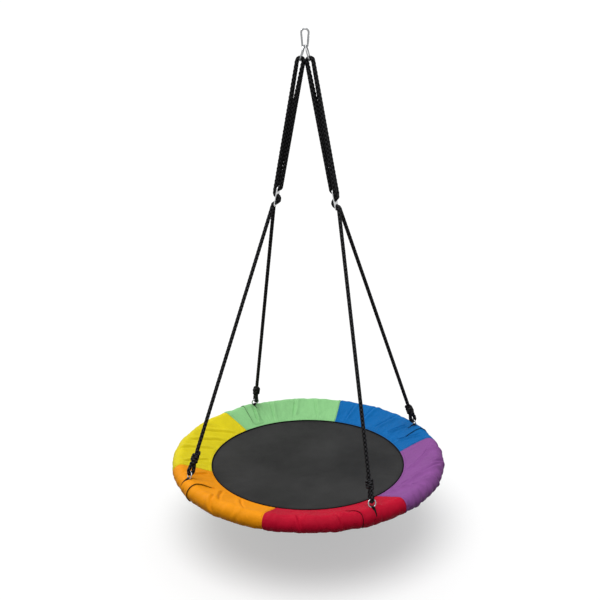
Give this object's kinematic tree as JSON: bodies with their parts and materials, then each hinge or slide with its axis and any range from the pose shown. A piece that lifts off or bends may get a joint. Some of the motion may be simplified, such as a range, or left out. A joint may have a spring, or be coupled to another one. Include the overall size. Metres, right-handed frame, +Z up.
{
  "type": "nest swing",
  "caption": "Round saucer swing: padded steel ring with a fabric mat and a coloured cover, hung by ropes, rope adjusters and rings from one snap hook.",
  "frame": {"origin": "the inner top of the snap hook's upper bend, where the swing hangs; everything is below it apart from the hook's own wire", "axes": "+Z up along the hanging line, +X through the two rope adjusters, -Y the front"},
  "size_m": [0.9998, 1, 1.586],
  "materials": {
    "hook_steel": "bright zinc-plated steel",
    "ring_steel": "bright zinc-plated steel, welded rings",
    "plate_steel": "satin stamped steel plate",
    "rope": "matte black braided polyester rope",
    "webbing": "matte black woven webbing",
    "frame_steel": "grey powder-coated steel tube",
    "foam": "matte closed-cell foam",
    "mat_fabric": "matte dark grey heavy woven polyester",
    "purple_fabric": "satin coated woven polyester, purple",
    "blue_fabric": "satin coated woven polyester, blue",
    "green_fabric": "satin coated woven polyester, light green",
    "yellow_fabric": "satin coated woven polyester, yellow",
    "orange_fabric": "satin coated woven polyester, orange",
    "red_fabric": "satin coated woven polyester, red"
  },
  "bodies": {
    "hook": {"hook_body": "hook_steel", "gate_pivot_pin": "hook_steel", "nose_pin": "hook_steel"},
    "gate": {"hook_gate": "hook_steel", "gate_spring": "hook_steel", "gate_plunger": "hook_steel"},
    "top_rings": {"top_ring_left": "ring_steel", "top_ring_right": "ring_steel"},
    "upper_ropes": {"upper_rope_left": "rope", "upper_rope_right": "rope"},
    "seat": {"adjuster_left": "plate_steel", "adjuster_right": "plate_steel", "lower_rope_front_left": "rope", "lower_rope_back_left": "rope", "lower_rope_front_right": "rope", "lower_rope_back_right": "rope", "end_knot_front_left": "rope", "end_knot_back_left": "rope", "end_knot_front_right": "rope", "end_knot_back_right": "rope", "rope_eye_front_left": "rope", "rope_eye_back_left": "rope", "rope_eye_front_right": "rope", "rope_eye_back_right": "rope", "rim_ring_front_left": "ring_steel", "rim_ring_back_left": "ring_steel", "rim_ring_front_right": "ring_steel", "rim_ring_back_right": "ring_steel", "ring_strap_front_left": "webbing", "ring_strap_back_left": "webbing", "ring_strap_front_right": "webbing", "ring_strap_back_right": "webbing", "frame_tube_front_left": "frame_steel", "frame_tube_back_left": "frame_steel", "frame_tube_front_right": "frame_steel", "frame_tube_back_right": "frame_steel", "tube_couplers": "frame_steel", "coupler_screws": "hook_steel", "foam_sleeve_front_left": "foam", "foam_sleeve_back_left": "foam", "foam_sleeve_front_right": "foam", "foam_sleeve_back_right": "foam", "seat_mat": "mat_fabric", "cover_purple": "purple_fabric", "cover_blue": "blue_fabric", "cover_green": "green_fabric", "cover_yellow": "yellow_fabric", "cover_orange": "orange_fabric", "cover_red": "red_fabric", "cover_flap_front_left": "orange_fabric", "cover_flap_back_left": "green_fabric", "cover_flap_front_right": "red_fabric", "cover_flap_back_right": "blue_fabric"}
  },
  "joints": [
    {"name": "gate_open", "type": "hinge", "parent": "hook", "child": "gate", "pos_m": [0.00923, 0.00196, -0.04254], "axis": [0.2079, -0.9781, 0], "range_deg": [0, 33], "stiffness_Nm_per_rad": 0.05, "springref_deg": -22.92},
    {"name": "swing_side", "type": "hinge", "parent": "hook", "child": "top_rings", "pos_m": [0, 0, -0.04725], "axis": [-0.2079, 0.9781, 0], "range_deg": [-20, 20]},
    {"name": "swing_fore_aft", "type": "hinge", "parent": "top_rings", "child": "upper_ropes", "pos_m": [0, 0, -0.07376], "axis": [0.9781, 0.2079, 0], "range_deg": [-30, 30]},
    {"name": "seat_rock", "type": "hinge", "parent": "upper_ropes", "child": "seat", "pos_m": [0, 0, -0.53346], "axis": [1, 0, 0], "range_deg": [-12, 12]}
  ]
}
